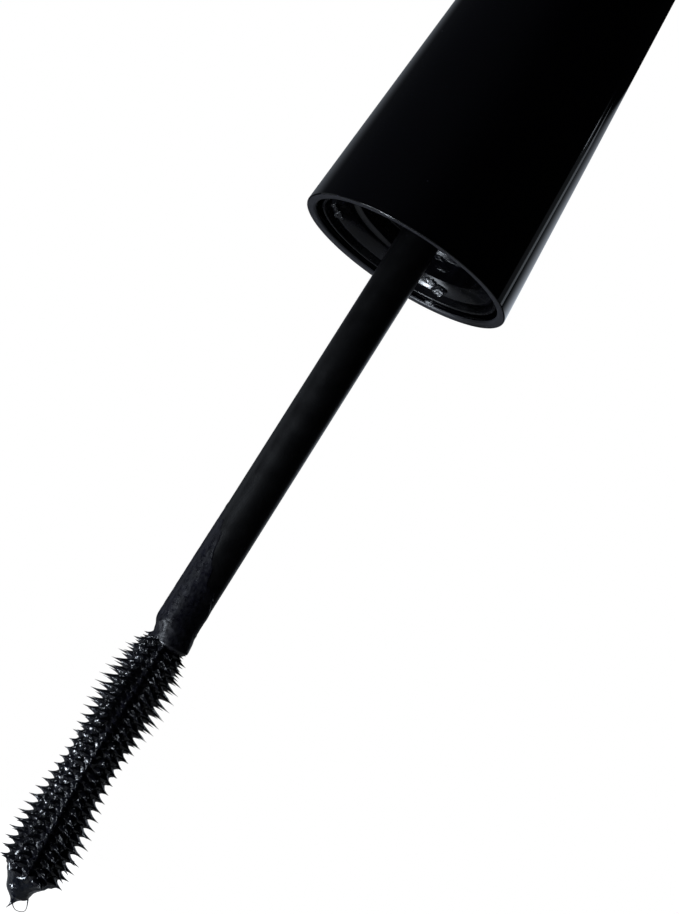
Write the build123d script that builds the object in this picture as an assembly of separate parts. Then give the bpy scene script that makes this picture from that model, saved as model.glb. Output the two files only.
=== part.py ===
from build123d import *
from math import cos, exp, pi, radians, sin, tan
import os

# Mascara tube, millimetres, +Z up. The origin is the centre of the bottle's base.
# At rest the wand stands straight above the open bottle, drawn fully out of it.
# Heights of the applicator's pieces are given above the cap's rim, so the stem and brush are below zero.

# Driving dimensions: bottle
body_radius = 10.0
shoulder_height = 67.0
collar_height = 1.4
sleeve_wall = 0.9
vial_gap = 0.2
vial_wall = 1.1
vial_bottom = 1.6
vial_floor = 3.0
neck_height = 13.0
neck_radius = 6.2
neck_bore = 4.9
fill_level = 50.0
channel_radius = 4.3

# Driving dimensions: cap
cap_length = 52.0
cap_half_angle = 3.59
cap_wall = 0.85
cap_end_wall = 1.2
insert_bore = 7.0
insert_ledge = 1.2
insert_ceiling = 14.3
insert_plate = 1.2
socket_radius = 3.9
socket_top = 24.6
weight_bottom = 26.8
weight_length = 7.5
weight_radius = 6.3
weight_bore = 2.5

# Driving dimensions: wand
rod_radius = 1.85
plug_radius = 2.6
plug_top = 24.3
brush_start = 38.0
brush_end = 60.3
brush_core = 1.3
brush_pin = 1.0
brush_pin_length = 6.0
spike_rows = 29
first_row = 38.6
row_pitch = 0.757
spike_width = 0.12
spike_lean = 0.16
spikes_in_row = 6
spike_foot = pi / 12
spike_valley = 1.55
drip_end = 63.2

# Driving dimensions: thread and travel
pitch = 2.0
thread_root_width = 1.15
thread_crest_width = 0.6
neck_thread_crest = 6.85
insert_thread_crest = 6.45
neck_thread_start = 69.0
neck_thread_turns = 1.5
insert_thread_start = 2.85
insert_thread_turns = 1.75
closing_turns = 1.25
rest_rim = 150.0
closed_gap = 0.15

# Worked out
taper = tan(radians(cap_half_angle))
lift = pitch * closing_turns
pull = rest_rim - shoulder_height - closed_gap - lift
neck_top = shoulder_height + neck_height
sleeve_top = shoulder_height - collar_height
sleeve_bore = body_radius - sleeve_wall
vial_radius = sleeve_bore - vial_gap
vial_bore = vial_radius - vial_wall


def turned(points, rounds={}):
    """A solid of revolution about Z from (radius, height) points. rounds: corner number to radius."""
    face = make_face(Polyline(*points, close=True))
    for number, radius in rounds.items():
        corner = Vector(*points[number], 0)
        vertex = face.vertices().sort_by(lambda v: (Vector(*v) - corner).length)[0]
        face = fillet(vertex, radius)
    return revolve(Plane.XZ * face, Axis.Z)


def tube(outer, inner, low, high, rounds={}):
    """A plain ring or tube."""
    return turned([(inner, low), (outer, low), (outer, high), (inner, high)], rounds)


def thread_ridge(root, crest, start, turns):
    """A helical ridge of trapezoid section from angle zero, turned inward where crest is below root."""
    sign = 1 if crest > root else -1
    foot = -0.2 * sign
    tip = crest - root
    path = Helix(pitch=pitch, height=pitch * turns, radius=root)
    section_plane = Plane(origin=path @ 0, x_dir=(1, 0, 0), z_dir=path % 0)
    outline = [
        (foot, -thread_root_width / 2),
        (0, -thread_root_width / 2),
        (tip, -thread_crest_width / 2),
        (tip, thread_crest_width / 2),
        (0, thread_root_width / 2),
        (foot, thread_root_width / 2),
    ]
    section = section_plane * make_face(Polyline(*outline, close=True))
    return Pos(0, 0, start) * sweep(section, path=path, is_frenet=True)


def at_rest(solid):
    """Lifts a piece from the cap's own heights to where the drawn-out wand stands."""
    return Pos(0, 0, rest_rim) * solid


# Bottle

def make_inner_bottle():
    body = turned(
        [
            (0, vial_bottom),
            (vial_radius, vial_bottom),
            (vial_radius, sleeve_top),
            (neck_radius, sleeve_top),
            (neck_radius, neck_top),
            (neck_bore, neck_top),
            (neck_bore, sleeve_top - 1.6),
            (vial_bore, sleeve_top - 5.0),
            (vial_bore, vial_floor),
            (0, vial_floor),
        ],
        {1: 0.8, 4: 0.3, 7: 1.5, 8: 1.2},
    )
    ridge = thread_ridge(neck_radius, neck_thread_crest, neck_thread_start, neck_thread_turns)
    dimple = Cylinder(3.1, 0.8, align=(Align.CENTER, Align.CENTER, Align.MIN))
    return body + ridge - Pos(0, 0, vial_bottom) * dimple


def make_bottle_sleeve():
    return tube(body_radius, sleeve_bore, 0, sleeve_top, {1: 0.4})


def make_shoulder_collar():
    return tube(body_radius, neck_radius, sleeve_top, shoulder_height, {2: 0.25})


def make_base_plug():
    boss_radius = 3.0
    return turned(
        [
            (0, 0.3),
            (7.6, 0.3),
            (7.6, 0),
            (sleeve_bore, 0),
            (sleeve_bore, vial_bottom),
            (boss_radius, vial_bottom),
            (boss_radius, vial_bottom + 0.7),
            (0, vial_bottom + 0.7),
        ]
    )


def make_base_label():
    return turned([(0, 0.12), (7.4, 0.12), (7.4, 0.3), (0, 0.3)])


def make_rod_wiper():
    flange_top = neck_top + 0.5
    return turned(
        [
            (4.25, flange_top),
            (4.25, 73.0),
            (2.0, 69.2),
            (2.0, 68.6),
            (2.45, 68.6),
            (neck_bore, 72.6),
            (neck_bore, neck_top),
            (5.9, neck_top),
            (5.9, flange_top),
        ],
        {0: 0.2, 8: 0.15},
    )


def make_mascara_fill():
    bottom = vial_floor + 0.05
    return turned(
        [
            (0, bottom),
            (6.5, bottom),
            (vial_bore - 0.1, bottom + 1.4),
            (vial_bore - 0.1, fill_level),
            (channel_radius, fill_level - 3.0),
            (channel_radius, bottom + 0.3),
            (0, bottom + 0.3),
        ]
    )


# Cap

def shell_outside(height):
    return body_radius - taper * height


def shell_inside(height):
    return shell_outside(height) - cap_wall


def liner_outside(height):
    return shell_outside(height) - 1.16


def insert_outside(height):
    return shell_outside(height) - 1.68


def make_cap_shell():
    roof = cap_length - cap_end_wall
    return turned(
        [
            (shell_inside(0), 0),
            (shell_outside(0), 0),
            (shell_outside(cap_length), cap_length),
            (0, cap_length),
            (0, roof),
            (shell_inside(roof), roof),
        ],
        {0: 0.18, 1: 0.1, 2: 0.9, 5: 0.6},
    )


def make_cap_liner():
    wall = 0.3
    low = 0.9
    top = 26.2
    bands = [(4.0, 5.0), (20.0, 21.0)]
    outline = [(liner_outside(low) - wall, low), (liner_outside(low), low)]
    for start, end in bands:
        outline += [
            (liner_outside(start), start),
            (shell_inside(start), start),
            (shell_inside(end), end),
            (liner_outside(end), end),
        ]
    plate = top - 1.0
    outline += [
        (liner_outside(top), top),
        (0, top),
        (0, plate),
        (liner_outside(plate) - wall, plate),
    ]
    return turned(outline, {0: 0.1, 1: 0.1})


def make_threaded_insert():
    body = turned(
        [
            (insert_bore, insert_ledge),
            (insert_outside(insert_ledge), insert_ledge),
            (insert_outside(insert_ceiling), insert_ceiling),
            (insert_outside(insert_ceiling) - 0.6, insert_ceiling + insert_plate),
            (socket_radius, insert_ceiling + insert_plate),
            (socket_radius, socket_top),
            (plug_radius, socket_top),
            (plug_radius, insert_ceiling),
            (insert_bore, insert_ceiling),
        ],
        {0: 0.35, 1: 0.15},
    )
    ridge = thread_ridge(insert_bore, insert_thread_crest, insert_thread_start, insert_thread_turns)
    start_angle = 360 * closing_turns % 360
    return body + Rot(0, 0, start_angle) * ridge


def make_cap_weight():
    return tube(weight_radius, weight_bore, weight_bottom, weight_bottom + weight_length, {1: 0.4, 2: 0.4})


def make_seal_washer():
    thickness = 0.8
    closed_bottom = neck_top + 0.55
    low = closed_bottom + pull - rest_rim
    return tube(6.1, rod_radius + 0.07, low, low + thickness, {1: 0.15, 2: 0.15})


# Wand

def make_applicator_stem():
    return turned(
        [
            (0, plug_top),
            (plug_radius, plug_top),
            (plug_radius, insert_ceiling),
            (rod_radius, insert_ceiling),
            (rod_radius, -brush_start),
            (brush_pin, -brush_start),
            (brush_pin, brush_pin_length - brush_start),
            (0, brush_pin_length - brush_start),
        ],
        {1: 0.4, 4: 0.45},
    )


def spike_reach(distance):
    """The brush's hourglass envelope: the spikes' radius at a distance below the rim."""
    waves = 3.02 + 0.45 * cos(2 * pi * (distance - 43.0) / 13.5)
    near_end = 1 - 0.25 * exp(-(distance - first_row) / 0.9)
    far_end = 1 - 0.25 * exp(-(60.6 - distance) / 0.6)
    return waves * near_end * far_end


def spike_rings(parity):
    """One of the two sets of rows as sharp rings that lean towards the brush's tip."""
    inside = spike_valley - 0.1
    top = -(brush_start + 0.05)
    bottom = -(brush_end - 0.1)
    half_foot = 0.44 * row_pitch
    outline = [(0, top), (inside, top)]
    for row in range(spike_rows - parity):
        middle = first_row + (row + parity / 2) * row_pitch
        reach = spike_reach(middle)
        tip = middle + spike_lean * (reach - spike_valley)
        outline += [
            (inside, -(middle - half_foot)),
            (reach, -(tip - spike_width / 2)),
            (reach, -(tip + spike_width / 2)),
            (inside, -(middle + half_foot)),
        ]
    outline += [(inside, bottom), (0, bottom)]
    return turned(outline)


def gaps_between_spikes(turn):
    """What is cut from a ring to leave its spikes: all that lies outside a many-pointed star."""
    length = brush_end - brush_start + 2.0
    step = 2 * pi / spikes_in_row
    half_tip = 0.035
    star_reach = 4.0
    outline = []
    for spike in range(spikes_in_row):
        angle = (spike + turn) * step
        for radius, corner in (
            (spike_valley, angle - spike_foot),
            (star_reach, angle - half_tip),
            (star_reach, angle + half_tip),
            (spike_valley, angle + spike_foot),
            (brush_core, angle + step / 2),
        ):
            outline.append((radius * cos(corner), radius * sin(corner)))
    star = extrude(make_face(Polyline(*outline, close=True)), amount=length)
    block = Cylinder(star_reach + 2.0, length, align=(Align.CENTER, Align.CENTER, Align.MIN))
    return Pos(0, 0, -(brush_end + 1.0)) * (block - star)


def make_moulded_brush():
    """One moulding: a pin that fits the stem, a core, and two sets of spikes half a row apart."""
    core = turned(
        [
            (0, brush_pin_length - brush_start),
            (brush_pin, brush_pin_length - brush_start),
            (brush_pin, -brush_start),
            (brush_core, -brush_start),
            (spike_valley - 0.1, -(brush_start + 0.15)),
            (spike_valley - 0.1, -(brush_end - 0.15)),
            (brush_core, -brush_end),
            (0, -brush_end),
        ]
    )
    even_rows = spike_rings(0) - gaps_between_spikes(0)
    odd_rows = spike_rings(1) - gaps_between_spikes(0.5)
    return core + (even_rows + odd_rows)


def make_mascara_coating():
    top = brush_end + 0.02
    return turned(
        [
            (0, -top),
            (1.5, -top),
            (1.9, -(top + 0.6)),
            (1.3, -(top + 1.7)),
            (0.25, -drip_end),
            (0, -drip_end),
        ],
        {2: 0.3},
    )


bottle = {
    "base_plug": make_base_plug(),
    "base_label": make_base_label(),
    "bottle_sleeve": make_bottle_sleeve(),
    "inner_bottle": make_inner_bottle(),
    "shoulder_collar": make_shoulder_collar(),
    "rod_wiper": make_rod_wiper(),
    "mascara_fill": make_mascara_fill(),
}
applicator = {
    "seal_washer": make_seal_washer(),
    "cap_weight": make_cap_weight(),
    "cap_shell": make_cap_shell(),
    "cap_liner": make_cap_liner(),
    "threaded_insert": make_threaded_insert(),
    "applicator_stem": make_applicator_stem(),
    "moulded_brush": make_moulded_brush(),
    "mascara_coating": make_mascara_coating(),
}

os.makedirs("parts", exist_ok=True)
for name, solid in bottle.items():
    export_step(solid, f"parts/{name}.step")
for name, solid in applicator.items():
    export_step(at_rest(solid), f"parts/{name}.step")
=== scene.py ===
import math
import random

import bmesh
import bpy
from mathutils import Matrix, Vector, noise


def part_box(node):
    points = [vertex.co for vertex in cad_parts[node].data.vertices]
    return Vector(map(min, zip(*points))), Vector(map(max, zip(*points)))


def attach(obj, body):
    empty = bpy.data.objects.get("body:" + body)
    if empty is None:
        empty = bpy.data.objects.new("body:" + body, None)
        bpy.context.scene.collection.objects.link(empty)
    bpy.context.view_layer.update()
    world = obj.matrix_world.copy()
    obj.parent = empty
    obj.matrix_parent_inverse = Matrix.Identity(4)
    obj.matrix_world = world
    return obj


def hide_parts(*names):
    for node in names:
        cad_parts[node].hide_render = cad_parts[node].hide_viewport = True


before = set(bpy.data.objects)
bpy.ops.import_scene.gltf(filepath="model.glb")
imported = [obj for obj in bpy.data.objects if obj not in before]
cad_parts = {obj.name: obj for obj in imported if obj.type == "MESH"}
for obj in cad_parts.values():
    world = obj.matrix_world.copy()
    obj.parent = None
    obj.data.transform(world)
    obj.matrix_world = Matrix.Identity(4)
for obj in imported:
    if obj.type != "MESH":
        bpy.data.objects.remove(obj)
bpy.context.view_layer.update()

# Mascara tube with its wand drawn out. Lengths in this script are millimetres; pieces are built in metres.
# Applicator pieces are drawn with heights above the cap's rim, bottle pieces with heights above the floor.

MM = 0.001
ROUND = 192  # facets round a turned piece
FINE_ROUND = 256  # facets round a turned piece that shows a thread or a large outline


def side(node, corner, axis):
    """One side of a CAD node's box, in millimetres. corner is 0 for low, 1 for high."""
    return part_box(node)[corner][axis] / MM


# The cap, its insert and the stem
RIM = side("cap_shell", 0, 2)
CAP_LENGTH = side("cap_shell", 1, 2) - RIM
CAP_RADIUS = 10.0
TAPER = math.tan(math.radians(3.59))
CAP_WALL = 0.85
CAP_END_WALL = 1.2
LINER_INSET = 1.16
INSERT_INSET = 1.68
LEDGE = side("threaded_insert", 0, 2) - RIM
INSERT_BORE = 7.0
CEILING = 14.3
PLUG = 2.6
ROD = 1.85
ROD_END = -38.0
ROD_SHOULDER = 1.7

# The screw thread
PITCH = 2.0
THREAD_STEP = 0.06

# The bottle
NECK_TOP = side("inner_bottle", 1, 2)
SHOULDER = side("shoulder_collar", 1, 2)
SLEEVE_TOP = side("bottle_sleeve", 1, 2)
NECK_RADIUS = 6.2
NECK_BORE = 4.9

# The brush
FIRST_ROW = 38.22
ROW_PITCH = 0.757
ROWS = 29
COLUMNS = 12
LEAN = 0.14
CORE = 1.25


# ---------------------------------------------------------------- mesh helpers

def smoothstep(low, high, value):
    """0 at low, 1 at high, eased at both ends. low may be the larger of the two."""
    t = min(1.0, max(0.0, (value - low) / (high - low)))
    return t * t * (3.0 - 2.0 * t)


def rounded(points, radii, steps=7):
    """A closed outline of (radius, height) points, with the corners that radii numbers turned into arcs."""
    out = []
    count = len(points)
    for number, point in enumerate(points):
        if number not in radii:
            out.append(point)
            continue
        corner = Vector(point)
        before = (Vector(points[number - 1]) - corner).normalized()
        after = (Vector(points[(number + 1) % count]) - corner).normalized()
        half = before.angle(after) / 2.0
        radius = radii[number]
        reach = radius / math.tan(half)
        centre = corner + (before + after).normalized() * (radius / math.sin(half))
        start = corner + before * reach - centre
        end = corner + after * reach - centre
        turn = start.angle_signed(end)
        for step in range(steps + 1):
            angle = -turn * step / steps
            arm = Matrix.Rotation(angle, 2) @ start
            out.append(tuple(centre + arm))
    return out


def split_line(low, high, step):
    """Heights from low to high, about step apart, ends included."""
    count = max(1, round(abs(high - low) / step))
    return [low + (high - low) * i / count for i in range(count + 1)]


def lathe(name, outline, lift, segments=ROUND, relief=None, band=None):
    """A solid of revolution from a closed outline. relief(angle, radius, height) adds to the radius, and
    band(start, end) picks the material number of the strip between two outline points."""
    mesh = bpy.data.meshes.new(name)
    bm = bmesh.new()
    rings = []
    for radius, height in outline:
        if radius < 1e-6:
            rings.append([bm.verts.new((0, 0, (height + lift) * MM))])
            continue
        ring = []
        z = (height + lift) * MM
        for k in range(segments):
            angle = 2 * math.pi * k / segments
            r = radius + (relief(angle, radius, height) if relief else 0.0)
            ring.append(bm.verts.new((r * math.cos(angle) * MM, r * math.sin(angle) * MM, z)))
        rings.append(ring)
    for number, ring in enumerate(rings):
        following = rings[(number + 1) % len(rings)]
        if len(ring) == 1 and len(following) == 1:
            continue
        chosen = band(outline[number], outline[(number + 1) % len(outline)]) if band else 0
        for k in range(segments):
            n = (k + 1) % segments
            if len(ring) == 1:
                face = bm.faces.new((ring[0], following[n], following[k]))
            elif len(following) == 1:
                face = bm.faces.new((ring[k], ring[n], following[0]))
            else:
                face = bm.faces.new((ring[k], ring[n], following[n], following[k]))
            face.material_index = chosen
            face.smooth = True
    bmesh.ops.recalc_face_normals(bm, faces=bm.faces)
    bm.to_mesh(mesh)
    bm.free()
    piece = bpy.data.objects.new(name, mesh)
    bpy.context.scene.collection.objects.link(piece)
    keep_flats = piece.modifiers.new("keep_flats", "WEIGHTED_NORMAL")
    keep_flats.weight = 80
    return piece


def mesh_piece(name, bm):
    """Turns a finished bmesh into a smooth-shaded object."""
    for face in bm.faces:
        face.smooth = True
    bmesh.ops.recalc_face_normals(bm, faces=bm.faces)
    mesh = bpy.data.meshes.new(name)
    bm.to_mesh(mesh)
    bm.free()
    piece = bpy.data.objects.new(name, mesh)
    bpy.context.scene.collection.objects.link(piece)
    return piece


def place(piece, body, slot, materials, *nodes):
    """Gives a piece its materials and the body it rides on, and hides the CAD nodes it stands for. slot is not
    used.
    """
    for surface in materials:
        piece.data.materials.append(surface)
    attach(piece, body)
    if nodes:
        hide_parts(*nodes)


# ---------------------------------------------------------------- materials

def material(name, colour, roughness, **sockets):
    """A Principled material with its plain values set on the shader."""
    made = bpy.data.materials.new(name)
    made.use_nodes = True
    shader = made.node_tree.nodes["Principled BSDF"]
    shader.inputs["Base Color"].default_value = (*colour, 1.0)
    shader.inputs["Roughness"].default_value = roughness
    for socket, value in sockets.items():
        shader.inputs[socket.replace("_", " ")].default_value = value
    return made


def node(made, kind, **values):
    """A new node in a material. Each value goes to its property of that name, or else to its socket."""
    new = made.node_tree.nodes.new(kind)
    for key, value in values.items():
        if hasattr(new, key):
            setattr(new, key, value)
        else:
            new.inputs[key.replace("_", " ")].default_value = value
    return new


def link(made, source, target):
    made.node_tree.links.new(source, target)


def shader_of(made):
    return made.node_tree.nodes["Principled BSDF"]


def place_coordinates(made, stretch=(1.0, 1.0, 1.0)):
    """The object's own coordinates, in metres, stretched."""
    coordinates = node(made, "ShaderNodeTexCoord")
    mapping = node(made, "ShaderNodeMapping")
    mapping.inputs["Scale"].default_value = stretch
    link(made, coordinates.outputs["Object"], mapping.inputs["Vector"])
    return mapping.outputs["Vector"]


def noise_of(made, feature, detail=3.0, roughness=0.5, stretch=(1.0, 1.0, 1.0)):
    """Noise with features of the given size in millimetres."""
    texture = node(made, "ShaderNodeTexNoise", Scale=1.0 / (feature * MM), Detail=detail)
    texture.inputs["Roughness"].default_value = roughness
    link(made, place_coordinates(made, stretch), texture.inputs["Vector"])
    return texture.outputs["Fac"]


def cells_of(made, feature):
    """Distance to scattered points, about one to each feature-sized cell."""
    texture = node(made, "ShaderNodeTexVoronoi", Scale=1.0 / (feature * MM))
    link(made, place_coordinates(made), texture.inputs["Vector"])
    return texture.outputs["Distance"]


def remap(made, value, low, high, to_low, to_high):
    """Maps low to to_low and high to to_high, in a straight line, and holds the ends."""
    change = node(made, "ShaderNodeMapRange")
    change.inputs["From Min"].default_value = low
    change.inputs["From Max"].default_value = high
    change.inputs["To Min"].default_value = to_low
    change.inputs["To Max"].default_value = to_high
    link(made, value, change.inputs["Value"])
    return change.outputs["Result"]


def rough_by(made, value, low, high, to_low, to_high):
    """Drives the roughness by a value, remapped."""
    link(made, remap(made, value, low, high, to_low, to_high), shader_of(made).inputs["Roughness"])


def bump_by(made, value, height, before=None):
    """Adds a bump whose full height is given in millimetres."""
    bump = node(made, "ShaderNodeBump", Strength=1.0, Distance=height * MM)
    link(made, value, bump.inputs["Height"])
    if before:
        link(made, before, bump.inputs["Normal"])
    link(made, bump.outputs["Normal"], shader_of(made).inputs["Normal"])
    return bump.outputs["Normal"]


def colour_by(made, value, first, second):
    """Blends the base colour from first to second as value goes from 0 to 1."""
    mix = node(made, "ShaderNodeMix", data_type="RGBA")
    ends = [socket for socket in mix.inputs if socket.type == "RGBA"]
    for socket, colour in zip(ends, (first, second)):
        socket.default_value = (*colour, 1.0)
    link(made, value, mix.inputs["Factor"])
    blend = [socket for socket in mix.outputs if socket.type == "RGBA"][0]
    link(made, blend, shader_of(made).inputs["Base Color"])


def gloss_black(name):
    """Piano-black moulding: deep gloss with faint orange peel, hairline scratches and a few dust specks."""
    black = (0.0006, 0.0006, 0.0012)
    made = material(name, black, 0.05, IOR=1.5)
    dust = remap(made, cells_of(made, 3.1), 0.0, 0.022, 1.0, 0.0)
    colour_by(made, dust, black, (0.06, 0.06, 0.07))
    rough_by(made, noise_of(made, 4.0, 4.0), 0.35, 0.75, 0.035, 0.075)
    peel = bump_by(made, noise_of(made, 2.2, 1.0), 0.0006)
    bump_by(made, noise_of(made, 0.12, 2.0, 0.5, (1.0, 1.0, 0.04)), 0.00006, peel)
    return made


def satin_black(name, roughness, colour=(0.004, 0.004, 0.005)):
    """Moulded satin plastic with a fine spark-eroded grain."""
    made = material(name, colour, roughness, IOR=1.5)
    rough_by(made, noise_of(made, 1.5, 4.0), 0.3, 0.7, roughness - 0.05, roughness + 0.06)
    bump_by(made, noise_of(made, 0.05, 3.0), 0.0015)
    return made


def handled_gloss(name, roughness):
    """Glossy moulding inside the cap, hazed where mascara has dried on it."""
    made = material(name, (0.0018, 0.0018, 0.0026), roughness, IOR=1.5)
    haze = remap(made, noise_of(made, 1.3, 5.0, 0.6), 0.42, 0.68, 0.0, 1.0)
    colour_by(made, haze, (0.0016, 0.0016, 0.0024), (0.004, 0.004, 0.0065))
    rough_by(made, haze, 0.0, 1.0, roughness, roughness + 0.1)
    lumps = bump_by(made, noise_of(made, 0.7, 2.0), 0.004)
    bump_by(made, noise_of(made, 0.09, 3.0), 0.0003, lumps)
    return made


def wet_mascara(name, lumps, colour=(0.0012, 0.0012, 0.0026), roughness=0.12, coat=0.7, shine=0.06):
    """Fresh mascara: blue-black and wet, with lumps of a depth in millimetres. coat is its wet film, and
    shine the gloss of the paste below."""
    made = material(name, colour, roughness, IOR=1.45, Coat_Weight=coat, Coat_Roughness=0.05)
    shader_of(made).inputs["Specular IOR Level"].default_value = shine
    thin = remap(made, noise_of(made, 0.8, 4.0, 0.6), 0.4, 0.7, 0.0, 1.0)
    colour_by(made, thin, colour, tuple(2.4 * c for c in colour))
    rough_by(made, noise_of(made, 0.35, 4.0), 0.3, 0.7, roughness * 0.7, roughness * 1.8)
    coarse = bump_by(made, noise_of(made, 0.3, 3.0), lumps)
    link(made, coarse, shader_of(made).inputs["Coat Normal"])
    bump_by(made, noise_of(made, 0.09, 2.0), lumps * 0.35, coarse)
    return made


def dried_mascara(name):
    """Mascara dried to a matt, grainy coat."""
    made = material(name, (0.0016, 0.0016, 0.0026), 0.55, IOR=1.45)
    shader_of(made).inputs["Specular IOR Level"].default_value = 0.05
    patches = remap(made, noise_of(made, 0.9, 4.0, 0.6), 0.38, 0.66, 0.0, 1.0)
    colour_by(made, patches, (0.0008, 0.0008, 0.0014), (0.003, 0.003, 0.005))
    rough_by(made, patches, 0.0, 1.0, 0.42, 0.7)
    coarse = bump_by(made, noise_of(made, 0.4, 3.0), 0.03)
    bump_by(made, noise_of(made, 0.1, 2.0), 0.008, coarse)
    return made


def soft_plastic(name, colour, roughness=0.45):
    """Natural polyethylene, slightly waxy."""
    made = material(name, colour, roughness, IOR=1.5, Subsurface_Weight=0.25, Subsurface_Scale=0.0006)
    shader_of(made).inputs["Subsurface Radius"].default_value = (1.0, 0.8, 0.6)
    stain = remap(made, noise_of(made, 1.6, 5.0, 0.6), 0.5, 0.72, 0.0, 1.0)
    colour_by(made, stain, colour, tuple(0.35 * c for c in colour))
    bump_by(made, noise_of(made, 0.2, 3.0), 0.003)
    return made


def turned_steel(name):
    """Turned steel: fine rings round the axis."""
    made = material(name, (0.45, 0.45, 0.46), 0.3, Metallic=1.0)
    rough_by(made, noise_of(made, 1.0, 3.0), 0.3, 0.7, 0.22, 0.4)
    bump_by(made, noise_of(made, 0.06, 2.0, 0.5, (0.1, 0.1, 1.0)), 0.002)
    return made


def blank_label(name):
    """Satin silver film, left blank, with rubbed patches."""
    silver = (0.42, 0.42, 0.44)
    made = material(name, silver, 0.32, Metallic=0.8)
    rubbed = remap(made, noise_of(made, 2.0, 5.0, 0.6), 0.45, 0.7, 0.0, 1.0)
    colour_by(made, rubbed, silver, (0.30, 0.30, 0.32))
    rough_by(made, rubbed, 0.0, 1.0, 0.28, 0.46)
    bump_by(made, noise_of(made, 0.3, 3.0), 0.002)
    return made


GLOSS = gloss_black("piano_black")
# The lip's grey is painted sheen: it is lighter than the rest of the same black moulding so that it looks lit.
# Its satin roughness is real.
LIP_PAINTED_SHEEN = satin_black("satin_lip_painted_sheen", 0.34, (0.028, 0.028, 0.0325))
LINER = satin_black("liner_satin", 0.26)
INSERT = handled_gloss("insert_gloss", 0.2)
STEM = satin_black("stem_satin", 0.36, (0.0016, 0.0016, 0.002))
BRUSH = wet_mascara("brush_wet", 0.045, roughness=0.36, coat=0.8)
MASCARA = wet_mascara("mascara_glob", 0.06, (0.001, 0.0018, 0.004), 0.2, 0.8)
RESIDUE = wet_mascara("mascara_residue", 0.005, (0.0016, 0.0018, 0.003), 0.22, 0.4, 0.6)
SMEAR = wet_mascara("mascara_smear", 0.01, (0.0022, 0.0022, 0.0042), 0.3, 0.12, 0.4)
DRIED = dried_mascara("mascara_dried")
SATIN = satin_black("collar_satin", 0.3)
VIAL = handled_gloss("vial_gloss", 0.16)
WIPER = soft_plastic("wiper_natural", (0.42, 0.41, 0.38))
WASHER = soft_plastic("washer_grey", (0.12, 0.12, 0.125), 0.55)
STEEL = turned_steel("turned_steel")
LABEL = blank_label("label_film")


# ---------------------------------------------------------------- cap

def shell_outside(height):
    """The shell's outer radius at a height above the rim."""
    return CAP_RADIUS - TAPER * height


def shell_inside(height):
    """The shell's inner radius at a height above the rim."""
    return shell_outside(height) - CAP_WALL


def make_cap():
    """Tapered over-shell with a satin lip, whose lighter grey is painted sheen."""
    roof = CAP_LENGTH - CAP_END_WALL
    points = [
        (shell_inside(0), 0),
        (shell_outside(0), 0),
        (shell_outside(CAP_LENGTH), CAP_LENGTH),
        (0, CAP_LENGTH),
        (0, roof),
        (shell_inside(roof), roof),
    ]
    inner_edge, outer_edge = 0.3, 0.1
    outline = rounded(points, {0: inner_edge, 1: outer_edge, 2: 0.9, 5: 0.6})

    def band(start, end):
        """1, the satin with its painted sheen, on the lip and its inner edge."""
        inside = max(start[0], end[0]) < CAP_RADIUS - outer_edge + 0.01
        return 1 if inside and max(start[1], end[1]) < inner_edge + 0.02 else 0

    piece = lathe("glossy_cap", outline, RIM, FINE_ROUND, band=band)
    place(piece, "applicator", "gloss_black", [GLOSS, LIP_PAINTED_SHEEN], "cap_shell")


def make_liner():
    """Thin sleeve between shell and insert, with two centring bands and a top plate."""
    wall, longer, gap = 0.3, 0.3, 0.01
    centring_bands = ((4.0, 5.0), (20.0, 21.0))
    low = side("cap_liner", 0, 2) - RIM - longer
    top = side("cap_liner", 1, 2) - RIM
    plate = top - 1.0

    def outside(height):
        return shell_outside(height) - LINER_INSET

    points = [(outside(low) - wall, low), (outside(low), low)]
    for start, end in centring_bands:
        points += [
            (outside(start), start),
            (shell_inside(start) - gap, start),
            (shell_inside(end) - gap, end),
            (outside(end), end),
        ]
    points += [(outside(top), top), (0, top), (0, plate), (outside(plate) - wall, plate)]
    piece = lathe("liner_sleeve", rounded(points, {0: 0.12, 1: 0.12}), RIM)
    place(piece, "applicator", "liner_black", [LINER], "cap_liner")


def ridge_height(offset, root_width=1.15, crest_width=0.6):
    """Height, from 0 to 1, of the thread's section at a distance along the axis from its middle."""
    return smoothstep(root_width / 2 + 0.03, crest_width / 2 - 0.03, abs(offset))


def thread_relief(start, turns, start_angle):
    """A function of angle and height that says how much of the thread's full depth stands there. The thread
    starts at a height and an angle, and fades out at both ends."""
    run_out = math.radians(35)
    whole = 2 * math.pi * turns

    def relief(angle, height):
        along = (angle - start_angle) % (2 * math.pi)
        best = 0.0
        while along <= whole:
            offset = height - (start + PITCH * along / (2 * math.pi))
            ends = smoothstep(0, run_out, along) * smoothstep(0, run_out, whole - along)
            best = max(best, ridge_height(offset) * ends)
            along += 2 * math.pi
        return best

    return relief


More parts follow.
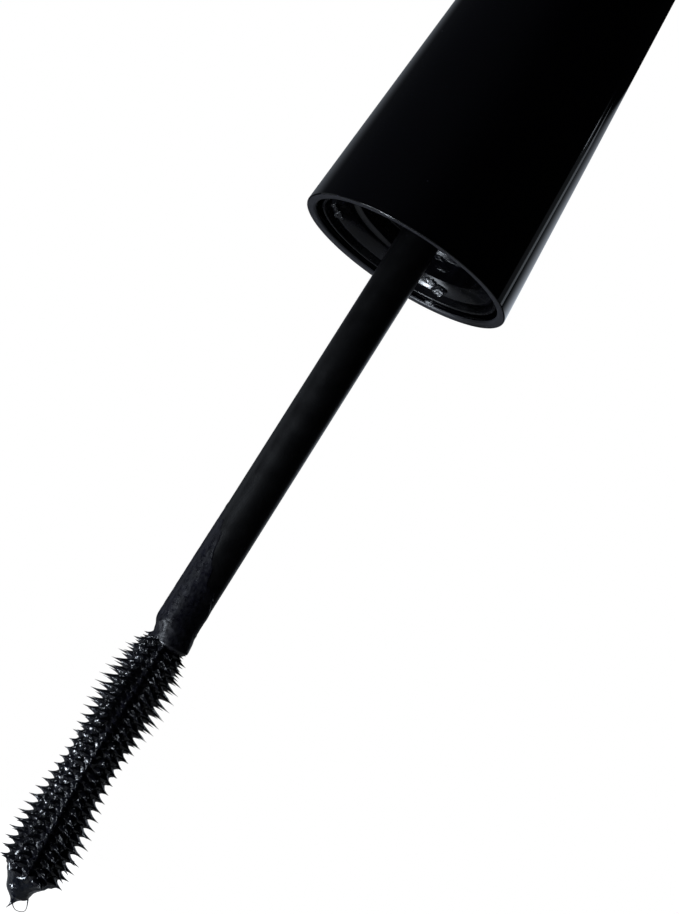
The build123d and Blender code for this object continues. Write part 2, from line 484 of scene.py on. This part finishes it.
def make_insert():
    """Threaded insert: recessed ledge, lead-in chamfer, threaded bore, ceiling and stem socket."""
    socket_radius, roof = 3.9, 1.2
    socket_top = side("threaded_insert", 1, 2) - RIM
    lead_in, lead_width = 0.95, 0.85
    thread_top, thread_depth = 8.2, 0.55

    def outside(height):
        return shell_outside(height) - INSERT_INSET

    wall = [(INSERT_BORE, height) for height in split_line(thread_top, LEDGE + lead_in, THREAD_STEP)]
    points = [
        (outside(LEDGE), LEDGE),
        (outside(CEILING), CEILING),
        (outside(CEILING) - 0.6, CEILING + roof),
        (socket_radius, CEILING + roof),
        (socket_radius, socket_top),
        (PLUG, socket_top),
        (PLUG, CEILING),
        (INSERT_BORE, CEILING),
    ]
    points += wall
    points += [(INSERT_BORE + lead_width, LEDGE)]
    last = len(points) - 1
    outline = rounded(points, {0: 0.15, last: 0.12})
    thread = thread_relief(start=2.85, turns=1.75, start_angle=math.radians(90))

    def band(start, end):
        """1, the dried mascara, on the ledge."""
        on_ledge = max(start[1], end[1]) < LEDGE + 0.05
        return 1 if on_ledge and max(start[0], end[0]) > INSERT_BORE + lead_width + 0.08 else 0

    def relief(angle, radius, height):
        if abs(radius - INSERT_BORE) > 0.01 or height > thread_top + 0.1:
            return 0.0
        return -thread_depth * thread(angle, height)

    piece = lathe("threaded_socket", outline, RIM, FINE_ROUND, relief, band)
    place(piece, "applicator", "insert_black", [INSERT, DRIED], "threaded_insert")


def ring_outline(cad_node, bore, radius, edge):
    """A plain ring as high as its CAD node, with its two outer edges rounded."""
    low, high = side(cad_node, 0, 2), side(cad_node, 1, 2)
    return rounded([(bore, low), (radius, low), (radius, high), (bore, high)], {1: edge, 2: edge})


def make_washer_and_weight():
    """The soft washer on the stem and the steel ring above it, both hidden in the cap."""
    piece = lathe("soft_washer", ring_outline("seal_washer", 1.92, 6.1, 0.15), 0)
    place(piece, "seal", "washer_soft", [WASHER], "seal_washer")
    piece = lathe("steel_weight", ring_outline("cap_weight", 2.5, 6.3, 0.4), 0)
    place(piece, "weight", "weight_steel", [STEEL], "cap_weight")


# ---------------------------------------------------------------- wand

def make_stem():
    """Satin rod with a soft shoulder at the brush, a bore for the brush's pin, and a plug inside the cap."""
    pin, pin_depth = 1.0, 6.0
    plug_top = side("applicator_stem", 1, 2) - RIM
    points = [(0, plug_top), (PLUG, plug_top), (PLUG, CEILING), (ROD, CEILING)]
    points += [(ROD, height) for height in split_line(CEILING - 1, ROD_END + ROD_SHOULDER, 2.0)]
    for up in (1.5, 1.2, 0.9, 0.6, 0.3, 0):
        points.append((ROD - 0.55 * smoothstep(ROD_SHOULDER, 0, up), ROD_END + up))
    points += [(pin, ROD_END), (pin, ROD_END + pin_depth), (0, ROD_END + pin_depth)]
    piece = lathe("wand_stem", points, RIM)
    place(piece, "applicator", "stem_satin", [STEM], "applicator_stem")


def spike_reach(distance):
    """The hourglass envelope: the spikes' radius at a distance below the rim."""
    waves = 3.02 + 0.45 * math.cos(2 * math.pi * (distance - 43.0) / 13.5)
    near_end = 1 - 0.25 * math.exp(-(distance - FIRST_ROW) / 0.9)
    far_end = 1 - 0.25 * math.exp(-(60.6 - distance) / 0.6)
    return waves * near_end * far_end


def valley(distance):
    """The radius up to which core and mascara fill the gaps between spikes."""
    start = 1.42 + 0.36 * smoothstep(38.2, 39.6, distance)
    return start + 0.12 * smoothstep(45, 49, distance) + 0.28 * smoothstep(51.5, 57, distance)


def bend(distance):
    """The brush's soft set to one side, in millimetres, at a distance below the rim."""
    return 0.8 * (max(0.0, distance - 46.0) / 15.0) ** 2


def brush_point(angle, radius, distance):
    """A point of the brush, in metres."""
    return Vector((
        (radius * math.cos(angle) + bend(distance)) * MM,
        radius * math.sin(angle) * MM,
        (RIM - distance) * MM,
    ))


# The shares of a spike's height at which its rings of points are drawn, its tip left out
SPIKE_LEVELS = (0, 0.02, 0.05, 0.1, 0.17, 0.26, 0.36, 0.48, 0.6, 0.72, 0.84, 0.93, 0.98)


def spike_width(t):
    """A spike's width, as a share of its foot's, at a share t of its height: a wide web, then a slender
    cone."""
    return 0.58 * (1 - t) ** 5 + 0.42 * (1 - t)


def spike_foot_outline():
    """The six-sided foot of one spike, as (columns across, rows along), walked in short steps."""
    corners = [(2 / 3, 0), (1 / 3, 0.5), (-1 / 3, 0.5), (-2 / 3, 0), (-1 / 3, -0.5), (1 / 3, -0.5)]
    outline = []
    for number, corner in enumerate(corners):
        following = corners[(number + 1) % 6]
        for part in range(3):
            share = part / 3
            outline.append((
                corner[0] + (following[0] - corner[0]) * share,
                corner[1] + (following[1] - corner[1]) * share,
            ))
    return outline


def add_spike(bm, centre, middle, rng):
    """One spike with its foot. rng gives its small faults: lean, curl, length and how thickly it is coated.
    The foot's own ring isn't squeezed, so that it meets its neighbours' feet."""
    step = 2 * math.pi / COLUMNS
    loose = 0.03 + 0.05 * smoothstep(52, 58, middle) * max(0.0, math.cos(centre))
    side_lean = rng.gauss(0, 0.03)
    axis_lean = LEAN + rng.gauss(0, loose)
    foot = valley(middle)
    length = (spike_reach(middle) - foot) * (1 + rng.gauss(0, 0.025))
    curl = rng.gauss(0, 0.04)
    wet = 1 + rng.uniform(-0.1, 0.25)
    rings = []
    for t in SPIKE_LEVELS:
        width = min(1.0, spike_width(t) * (1 if t == 0 else wet * (1 - 0.1 * t)))
        ring = []
        for across, along in spike_foot_outline():
            distance = middle - along * ROW_PITCH * width
            radius = (valley(distance) if t == 0 else foot) + length * t
            squeeze = 1 if t == 0 else width ** 1.25 * (foot / radius) ** 0.5
            around = centre + across * step * squeeze
            around += (side_lean * t + curl * t ** 3) * length / radius
            distance += axis_lean * length * t
            if t < 0.5:
                spot = Vector((math.cos(around) * 6, math.sin(around) * 6, distance * 3.1))
                fine = Vector((math.cos(around) * 19, math.sin(around) * 19, distance * 8))
                lump = 0.1 * noise.noise(spot) + 0.05 * noise.noise(fine)
                radius += lump * (1 - t / 0.5)
            ring.append(bm.verts.new(brush_point(around, radius, distance)))
        rings.append(ring)
    tip_angle = centre + (side_lean + curl) * length / (foot + length)
    tip = bm.verts.new(brush_point(tip_angle, foot + length, middle + axis_lean * length))
    count = len(rings[0])
    for k in range(count):
        n = (k + 1) % count
        for lower, upper in zip(rings, rings[1:]):
            bm.faces.new((lower[k], lower[n], upper[n], upper[k]))
        bm.faces.new((rings[-1][k], rings[-1][n], tip))


def make_brush():
    """Columns of spikes on a staggered six-sided net, so that their feet run into each other as in one
    moulding."""
    rng = random.Random(7)
    bm = bmesh.new()
    for column in range(COLUMNS):
        shift = 0.5 * (column % 2)
        for row in range(ROWS - column % 2):
            add_spike(bm, column * 2 * math.pi / COLUMNS, FIRST_ROW + (row + shift) * ROW_PITCH, rng)
    feet = [vert for vert in bm.verts if vert.is_boundary]  # a tip is never welded to its neighbour's
    bmesh.ops.remove_doubles(bm, verts=feet, dist=0.01 * MM)
    close_brush_ends(bm)
    piece = mesh_piece("spiked_brush", bm)
    place(piece, "applicator", "brush_elastomer", [BRUSH], "moulded_brush")


def close_brush_ends(bm):
    """Closes the two open ends of the net: one inside the stem's coat, one inside the glob. The faces are made
    one by one, so that their order is the same in each run."""
    edges = [edge for edge in bm.edges if edge.is_boundary]
    middle = (RIM - 50.0) * MM
    for top, distance in ((True, 37.9), (False, 60.2)):
        inner = {}
        for edge in edges:
            if (edge.verts[0].co.z > middle) != top:
                continue
            for vert in edge.verts:
                if vert not in inner:
                    angle = math.atan2(vert.co.y / MM, vert.co.x / MM - bend(distance))
                    inner[vert] = (angle, bm.verts.new(brush_point(angle, CORE, distance)))
            first, second = edge.verts
            bm.faces.new((second, inner[second][1], inner[first][1], first))
        in_turn = sorted(inner.values(), key=lambda pair: pair[0])
        bm.faces.new([vert for angle, vert in in_turn])


def skin(bm, rings):
    """Joins closed rings of equal count into a solid, its two ends closed to their middles."""
    count = len(rings[0])
    for lower, upper in zip(rings, rings[1:]):
        for k in range(count):
            n = (k + 1) % count
            bm.faces.new((lower[k], lower[n], upper[n], upper[k]))
    for ring in (rings[0], rings[-1]):
        middle = sum((vert.co for vert in ring), Vector()) / count
        cap = bm.verts.new(middle)
        for k in range(count):
            bm.faces.new((ring[k], ring[(k + 1) % count], cap))


def smooth_path(points, steps):
    """Points of a smooth line through the given ones."""
    ends = [2 * points[0] - points[1]] + list(points) + [2 * points[-1] - points[-2]]
    path = []
    for number in range(1, len(ends) - 2):
        before, start, end, after = ends[number - 1:number + 3]
        for step in range(steps):
            t = step / steps
            path.append(0.5 * (
                2 * start + (end - before) * t
                + (2 * before - 5 * start + 4 * end - after) * t * t
                + (3 * start - before - 3 * end + after) * t * t * t
            ))
    return path + [points[-1]]


# The glob's outline, from the last spikes to its drip: distance below the rim, left side, right side
GLOB_SIDES = (
    (58.9, -1.3, 2.5),
    (59.4, -1.45, 2.75),
    (59.9, -1.4, 2.55),
    (60.4, -1.05, 2.15),
    (60.9, -0.75, 1.85),
    (61.4, -0.45, 1.68),
    (61.65, -0.2, 1.6),
    (61.85, 0.05, 1.3),
    (62.1, 0.32, 1.02),
    (62.4, 0.5, 0.82),
    (62.7, 0.53, 0.66),
    (62.98, 0.47, 0.51),
)

# The hair-thin loop that hangs from the glob and meets the drip again: sideways, distance below the rim
HAIR_LOOP = (
    (1.45, 61.3),
    (1.7, 61.65),
    (1.9, 62.1),
    (1.95, 62.4),
    (1.78, 62.62),
    (1.35, 62.76),
    (1.0, 62.66),
    (0.72, 62.4),
)


def add_glob(bm, around=96):
    """A lump webbed to the last spikes, running out into a drip."""
    rings = []
    for distance, left, right in smooth_path([Vector(row) for row in GLOB_SIDES], 6):
        middle, half = (left + right) / 2, (right - left) / 2
        web = smoothstep(60.3, 59.0, distance)
        ring = []
        for k in range(around):
            angle = 2 * math.pi * k / around
            spot = Vector((math.cos(angle) * 1.5, math.sin(angle) * 1.5, distance * 1.1))
            fine = Vector((math.cos(angle) * 4, math.sin(angle) * 4, distance * 2.6))
            lobes = 0.14 * web * math.cos(COLUMNS * angle)
            lumps = 0.12 * noise.noise(spot) + 0.04 * noise.noise(fine)
            radius = half * (1 + lobes + lumps * min(1.0, half))
            x = middle + radius * math.cos(angle)
            y = radius * 0.92 * math.sin(angle)
            ring.append(bm.verts.new((x * MM, y * MM, (RIM - distance) * MM)))
        rings.append(ring)
    skin(bm, rings)


def add_hair_loop(bm, around=10):
    """A loop of mascara as thin as a hair, thicker where it leaves the glob."""
    path = smooth_path([Vector((x, 0.0, RIM - distance)) for x, distance in HAIR_LOOP], 8)
    depth = Vector((0, 1, 0))
    rings = []
    for number, point in enumerate(path):
        following = path[min(number + 1, len(path) - 1)]
        before = path[max(number - 1, 0)]
        along = (following - before).normalized()
        across = along.cross(depth).normalized()
        share = number / (len(path) - 1)
        radius = 0.028 + 0.09 * (1 - share) ** 6 + 0.03 * share ** 8
        ring = []
        for k in range(around):
            angle = 2 * math.pi * k / around
            offset = across * math.cos(angle) + depth * math.sin(angle)
            ring.append(bm.verts.new((point + offset * radius) * MM))
        rings.append(ring)
    skin(bm, rings)


def make_tip_glob():
    """The mascara that hangs on the brush's end."""
    bm = bmesh.new()
    add_glob(bm)
    add_hair_loop(bm)
    piece = mesh_piece("tip_glob", bm)
    place(piece, "applicator", "mascara_wet", [MASCARA], "mascara_coating")


def add_patch(bm, centre, facing, along, size, seed):
    """A lumpy smear of mascara on a wall: size is its length, its width and how far it stands out."""
    facing = Vector(facing).normalized()
    along = Vector(along)
    along = (along - facing * along.dot(facing)).normalized()
    across = facing.cross(along)
    ball = bmesh.ops.create_icosphere(bm, subdivisions=4, radius=1.0)["verts"]
    for vert in ball:
        spot = vert.co * 1.9 + Vector((seed, 2 * seed, 0))
        swell = 1 + 0.4 * noise.noise(spot) + 0.2 * noise.noise(spot * 2.7)
        local = vert.co * swell
        offset = along * local.x * size[0] / 2 + across * local.y * size[1] / 2 + facing * local.z * size[2]
        vert.co = (Vector(centre) + offset) * MM


def on_wall(angle, radius, height):
    """A place inside the cap, with the direction to the axis and the direction round it."""
    turn = math.radians(angle)
    inward = Vector((-math.cos(turn), -math.sin(turn), 0))
    around = Vector((-math.sin(turn), math.cos(turn), 0))
    return Vector((radius * math.cos(turn), radius * math.sin(turn), RIM + height)), inward, around


# Drops on the insert's wall, and one at the cap's lip: angle, radius, height above the rim, length, width
WALL_DROPS = (
    (64, 9.12, 0.42, 1.3, 0.5),
    (58, 7.44, 1.35, 1.4, 0.9),
    (67, 7.24, 1.9, 1.5, 0.9),
    (64, 7.14, 2.8, 3.6, 0.9),
    (69, 7.1, 3.85, 1.9, 1.0),
    (82, 7.12, 3.3, 1.5, 0.9),
)


def make_socket_residue():
    """Wet smears that the neck has left inside the cap: a cluster on the ledge, and drops on the wall."""
    rng = random.Random(21)
    bm = bmesh.new()
    down = Vector((0, 0, -1))
    cluster, cluster_angle = 15, 166
    for number in range(cluster):
        angle = cluster_angle + rng.uniform(-11, 9)
        place_at, inward, around = on_wall(angle, rng.uniform(7.3, 8.1), LEDGE)
        add_patch(bm, place_at, down + inward * 0.3, around, (rng.uniform(0.35, 0.9), 0.35, 0.13), number)
    for angle, radius, height, length, width in WALL_DROPS:
        place_at, inward, around = on_wall(angle, radius, height)
        add_patch(bm, place_at, inward + down * 0.36, around, (length, width, 0.1), angle)
    piece = mesh_piece("socket_residue", bm)
    place(piece, "applicator", "mascara_wet", [RESIDUE])


def make_stem_smear():
    """Wet mascara left on the stem's lower end. It reaches highest on one side, and it closes the joint with
    the brush."""
    film_top, film_end, closing = -23.0, ROD_END - 0.1, 1.2
    speck_angle, speck_height, speck_size = math.radians(319), -33.2, 0.16

    def film(angle, radius, height):
        """How far the film stands out from the rod. It is negative, inside the rod, where there is none."""
        if height < ROD_END + ROD_SHOULDER or radius < 1.7:
            lean = smoothstep(ROD_END + ROD_SHOULDER, film_end, height) * (-0.17 + 0.34 * math.cos(angle))
            fold = 0.05 * noise.noise(Vector((math.cos(angle) * 3, math.sin(angle) * 3, height * 2)))
            return (0.05 + lean + fold) if radius > 1.3 else 0.0
        facing = ((1 + math.cos(angle)) / 2) ** 0.6
        streak = Vector((math.cos(angle) * 3.4, math.sin(angle) * 3.4, height * 0.55))
        start = -24.8 - 9.3 * facing + 1.5 * noise.noise(streak)
        covered = start - height
        fine = Vector((math.cos(angle) * 9, math.sin(angle) * 9, height * 2.2))
        edge = 0.02 * math.exp(-((covered - 0.5) / 0.5) ** 2)
        amount = 0.012 + 0.03 * smoothstep(0.5, 6, covered) + edge
        amount += 0.016 * noise.noise(fine) + 0.012 * noise.noise(streak * 3)
        from_speck = math.hypot((angle - speck_angle) * ROD, height - speck_height)
        speck = 0.12 * math.exp(-((from_speck / speck_size) ** 2))
        return -0.04 + smoothstep(0, 0.4, covered) * (0.04 + amount) + speck

    points = [(closing, film_top), (1.6, film_top)]
    points += [(ROD, height) for height in split_line(film_top, film_end, 0.1)]
    points += [(1.72, ROD_END - 0.3), (1.5, ROD_END - 0.5), (closing, ROD_END - 0.6)]
    piece = lathe("stem_smear", points, RIM, relief=film)
    piece.modifiers.clear()  # the film has no flats to keep
    place(piece, "applicator", "mascara_wet", [SMEAR])


# ---------------------------------------------------------------- bottle

def make_vial():
    """Moulded vial with shoulder, threaded neck and bore."""
    outer, inner = 8.9, 7.8
    bottom, floor = 1.6, 3.0
    thread_depth = 0.65
    heights = split_line(SLEEVE_TOP + 0.3, NECK_TOP - 0.6, THREAD_STEP)
    wall = [(NECK_RADIUS, height) for height in heights]
    points = [(0, bottom), (outer, bottom), (outer, SLEEVE_TOP), (NECK_RADIUS, SLEEVE_TOP)]
    points += wall
    top = len(points)
    points += [
        (NECK_RADIUS, NECK_TOP),
        (NECK_BORE, NECK_TOP),
        (NECK_BORE, SLEEVE_TOP - 1.6),
        (inner, SLEEVE_TOP - 5.0),
        (inner, floor),
        (0, floor),
    ]
    thread = thread_relief(start=69.0, turns=1.5, start_angle=0.0)

    def relief(angle, radius, height):
        if abs(radius - NECK_RADIUS) > 0.01:
            return 0.0
        return thread_depth * thread(angle, height)

    outline = rounded(points, {1: 0.8, top: 0.3, top + 3: 1.5, top + 4: 1.2})
    piece = lathe("threaded_vial", outline, 0, FINE_ROUND, relief=relief)
    place(piece, "bottle", "bottle_black", [VIAL], "inner_bottle")


def make_bottle_outside():
    """The outer sleeve, the collar on its shoulder, the plug in its foot and the blank label under it."""
    radius, bore = 10.0, 9.1
    top = SLEEVE_TOP - 0.05
    sleeve = [(bore, 0), (radius, 0), (radius, top), (bore, top)]
    piece = lathe("glossy_sleeve", rounded(sleeve, {0: 0.1, 1: 0.4, 2: 0.1}), 0, FINE_ROUND)
    place(piece, "bottle", "gloss_black", [GLOSS], "bottle_sleeve")

    hole = NECK_RADIUS + 0.05
    collar = [(hole, SLEEVE_TOP), (radius, SLEEVE_TOP), (radius, SHOULDER), (hole, SHOULDER)]
    piece = lathe("satin_collar", rounded(collar, {1: 0.1, 2: 0.25, 3: 0.12}), 0, FINE_ROUND)
    place(piece, "bottle", "satin_black", [SATIN], "shoulder_collar")

    recess, recess_depth = 7.6, 0.3
    boss, boss_top = 3.0, 2.3
    rim, thick = bore - 0.04, 1.6
    plug = [(0, recess_depth), (recess, recess_depth), (recess, 0), (rim, 0)]
    plug += [(rim, thick), (boss, thick), (boss, boss_top), (0, boss_top)]
    piece = lathe("base_cap", rounded(plug, {1: 0.08, 2: 0.15, 3: 0.15}), 0)
    place(piece, "bottle", "bottle_black", [SATIN], "base_plug")

    label_radius, label_face = 7.4, 0.12
    label = [(0, label_face), (label_radius, label_face), (label_radius, recess_depth), (0, recess_depth)]
    piece = lathe("blank_label", rounded(label, {1: 0.05}), 0)
    place(piece, "bottle", "label_silver", [LABEL], "base_label")


def make_wiper():
    """Soft insert pushed into the neck, its lip narrowed to the stem."""
    flange, flange_radius = side("rod_wiper", 1, 2), 5.9
    mouth, outer = 4.25, NECK_BORE - 0.03
    lip, lip_end = 2.0, 68.6
    points = [
        (mouth, flange),
        (mouth, 73.0),
        (lip, 69.2),
        (lip, lip_end),
        (2.45, lip_end),
        (outer, 72.6),
        (outer, NECK_TOP),
        (flange_radius, NECK_TOP),
        (flange_radius, flange),
    ]
    edges = {0: 0.22, 1: 0.6, 2: 0.15, 4: 0.12, 5: 0.6, 7: 0.05, 8: 0.18}
    piece = lathe("soft_wiper", rounded(points, edges), 0)
    place(piece, "bottle", "wiper_soft", [WIPER], "rod_wiper")


def make_fill():
    """What is left of the mascara, with the channel the brush has worn in it."""
    bottom, level = 3.05, 50.0
    outer, channel = 7.72, 4.3
    points = [(0, bottom), (6.5, bottom), (outer, bottom + 1.4), (outer, level)]
    points += [(channel + 0.25, level - 2.6)]
    points += [(channel, height) for height in split_line(level - 3.2, bottom + 1.0, 0.8)]
    points += [(channel - 0.4, bottom + 0.35), (0, bottom + 0.3)]

    def relief(angle, radius, height):
        """Uneven walls in the channel, and none elsewhere."""
        if radius < 3.5 or radius > 5.0:
            return 0.0
        return 0.25 + 0.25 * noise.noise(Vector((math.cos(angle) * 2, math.sin(angle) * 2, height * 0.3)))

    piece = lathe("mascara_in_vial", points, 0, 96, relief=relief)
    place(piece, "bottle", "mascara_wet", [MASCARA], "mascara_fill")


make_cap()
make_liner()
make_insert()
make_washer_and_weight()
make_stem()
make_brush()
make_tip_glob()
make_stem_smear()
make_socket_residue()
make_vial()
make_bottle_outside()
make_wiper()
make_fill()


# ---------------------------------------------------------------- stage, light and camera

def make_floor():
    """A plain pale disc under the bottle. It looks as white as the backdrop, and lights the piece less."""
    radius, lowered = 330, 0.3
    bm = bmesh.new()
    bmesh.ops.create_circle(bm, cap_ends=True, segments=96, radius=radius * MM)
    bmesh.ops.translate(bm, verts=bm.verts, vec=(0, 0, -lowered * MM))
    floor = mesh_piece("floor", bm)
    made = material("floor_white", (0.35, 0.35, 0.35), 0.8, Emission_Color=(1, 1, 1, 1))
    shader_of(made).inputs["Specular IOR Level"].default_value = 0.1
    path = node(made, "ShaderNodeLightPath")
    link(made, path.outputs["Is Camera Ray"], shader_of(made).inputs["Emission Strength"])
    rough_by(made, noise_of(made, 6.0, 3.0), 0.3, 0.7, 0.75, 0.85)
    floor.data.materials.append(made)


def area_light(name, place_at, aim_at, size, strength, colour=(1, 1, 1)):
    """A soft panel that the camera doesn't see. strength is its radiance; size is (width, height)."""
    data = bpy.data.lights.new(name, "AREA")
    data.shape = "RECTANGLE"
    data.size = size[0] * MM
    data.size_y = size[1] * MM
    data.energy = strength * math.pi * data.size * data.size_y
    data.color = colour
    lamp = bpy.data.objects.new(name, data)
    bpy.context.scene.collection.objects.link(lamp)
    lamp.location = Vector(place_at) * MM
    lamp.rotation_euler = (Vector(aim_at) - Vector(place_at)).to_track_quat("-Z", "Y").to_euler()
    lamp.visible_camera = False
    return lamp


def around_axis(angle, distance, height):
    """A place round the wand: angle in degrees from the camera's side, positive to the right."""
    turn = math.radians(angle)
    return (distance * math.sin(turn), -distance * math.cos(turn), height)


def make_world():
    """White where the camera looks past the object. What the object mirrors is a dark room, a little lighter
    to the left, with a pale backdrop behind the object: bright and low on the right, dim on the left."""
    world = bpy.data.worlds.new("studio")
    world.use_nodes = True
    bpy.context.scene.world = world
    tree = world.node_tree
    tree.nodes.clear()

    def span(source, low, high, to_low, to_high):
        ramp = tree.nodes.new("ShaderNodeMapRange")
        ramp.interpolation_type = "SMOOTHSTEP"
        ramp.inputs["From Min"].default_value = low
        ramp.inputs["From Max"].default_value = high
        ramp.inputs["To Min"].default_value = to_low
        ramp.inputs["To Max"].default_value = to_high
        tree.links.new(source, ramp.inputs["Value"])
        return ramp.outputs["Result"]

    def combine(operation, first, second):
        joined = tree.nodes.new("ShaderNodeMath")
        joined.operation = operation
        tree.links.new(first, joined.inputs[0])
        tree.links.new(second, joined.inputs[1])
        return joined.outputs["Value"]

    coordinates = tree.nodes.new("ShaderNodeTexCoord")
    split = tree.nodes.new("ShaderNodeSeparateXYZ")
    tree.links.new(coordinates.outputs["Generated"], split.inputs["Vector"])
    across, ahead, up = split.outputs
    behind = span(ahead, 0.58, 0.84, 0.0, 1.0)
    fade = combine("MULTIPLY", span(up, 0.27, 0.34, 1.0, 0.6), span(up, 0.34, 0.46, 1.0, 0.6))
    fade = combine("MULTIPLY", fade, span(up, 0.452, 0.47, 1.0, 0.0))
    right = combine("MULTIPLY", span(across, -0.12, 0.12, 0.0, 0.8), fade)
    left = span(across, -0.12, 0.12, 0.15, 0.0)
    backdrop = combine("MULTIPLY", behind, combine("ADD", left, right))
    backdrop = combine("MULTIPLY", backdrop, span(up, -0.12, 0.12, 0.0, 1.0))
    strength = combine("ADD", backdrop, span(across, -1.0, 0.3, 0.036, 0.002))

    room = tree.nodes.new("ShaderNodeBackground")
    room.inputs["Color"].default_value = (0.8, 0.88, 1.0, 1)
    tree.links.new(strength, room.inputs["Strength"])
    white = tree.nodes.new("ShaderNodeBackground")
    white.inputs["Color"].default_value = (1, 1, 1, 1)
    path = tree.nodes.new("ShaderNodeLightPath")
    mix = tree.nodes.new("ShaderNodeMixShader")
    output = tree.nodes.new("ShaderNodeOutputWorld")
    tree.links.new(path.outputs["Is Camera Ray"], mix.inputs["Fac"])
    tree.links.new(room.outputs["Background"], mix.inputs[1])
    tree.links.new(white.outputs["Background"], mix.inputs[2])
    tree.links.new(mix.outputs["Shader"], output.inputs["Surface"])


def around_cap(angle, elevation):
    """A place seen from the cap's rim at an angle from the camera's side and an elevation, in degrees."""
    distance = 600
    rise = math.radians(elevation)
    return around_axis(angle, distance * math.cos(rise), RIM + distance * math.sin(rise))


def strip_light(name, low_end, high_end, width, strength, colour):
    """A panel between two directions from the cap, each an (angle, elevation), that faces the cap."""
    low, high = Vector(around_cap(*low_end)), Vector(around_cap(*high_end))
    middle = (low + high) / 2
    lamp = area_light(name, middle, (0, 0, RIM), (width, (high - low).length), strength, colour)
    facing = (middle - Vector((0, 0, RIM))).normalized()
    along = (high - low).normalized()
    turn = Matrix((along.cross(facing), along, facing)).transposed()
    lamp.rotation_euler = turn.to_euler()


def make_lights():
    """Soft panels above and to the left, small ones for the wet glints, and three strips mirrored by the
    cap's right side."""
    cool = (0.82, 0.9, 1.0)
    area_light("overhead", (0, 60, 900), (0, 0, 0), (320, 320), 4.0)
    area_light("left_panel", around_axis(-112, 420, RIM - 25), (0, 0, RIM - 25), (220, 130), 0.33, cool)
    area_light("low_left", around_axis(-55, 200, RIM - 100), (0, 0, RIM - 5), (72, 40), 8.0, cool)
    area_light("left_high", around_axis(-95, 300, RIM + 330), (0, 0, RIM - 50), (76, 76), 54.0, cool)
    area_light("brush_side", around_axis(-70, 110, RIM - 84), (0, 0, RIM - 54), (26, 26), 12.0, cool)
    area_light("tip_glint", around_axis(-62, 75, RIM - 130), (0, 0, RIM - 60), (25, 25), 66.0, cool)
    area_light("front_high", around_axis(-35, 300, RIM + 420), (0, 0, RIM - 50), (90, 90), 24.0, cool)
    strip_light("right_band", (121.5, 16), (133.5, 29), 36, 0.42, cool)
    strip_light("right_glow", (117, 16), (127, 28), 110, 0.06, cool)
    strip_light("right_glint", (121.5, 28.2), (122.3, 29.8), 7, 2.0, cool)


def make_camera():
    """The photograph's view: just below the cap's rim, looking slightly up, and rolled."""
    distance = 101.85
    below_rim = 27.5
    pitch, yaw, roll = 5.75, 2.30, 32.0
    data = bpy.data.cameras.new("camera")
    data.lens = 47.26
    data.sensor_width = 36.0
    data.clip_start = 0.001
    data.clip_end = 20.0
    camera = bpy.data.objects.new("camera", data)
    bpy.context.scene.collection.objects.link(camera)
    turn = (
        Matrix.Rotation(math.radians(-yaw), 4, "Z")
        @ Matrix.Rotation(math.radians(90 + pitch), 4, "X")
        @ Matrix.Rotation(math.radians(roll), 4, "Z")
    )
    camera.matrix_world = Matrix.Translation(Vector((0, -distance, RIM - below_rim)) * MM) @ turn
    bpy.context.scene.camera = camera


make_floor()
make_world()
make_lights()
make_camera()
bpy.context.scene.view_settings.view_transform = "Standard"
bpy.context.scene.view_settings.look = "None"
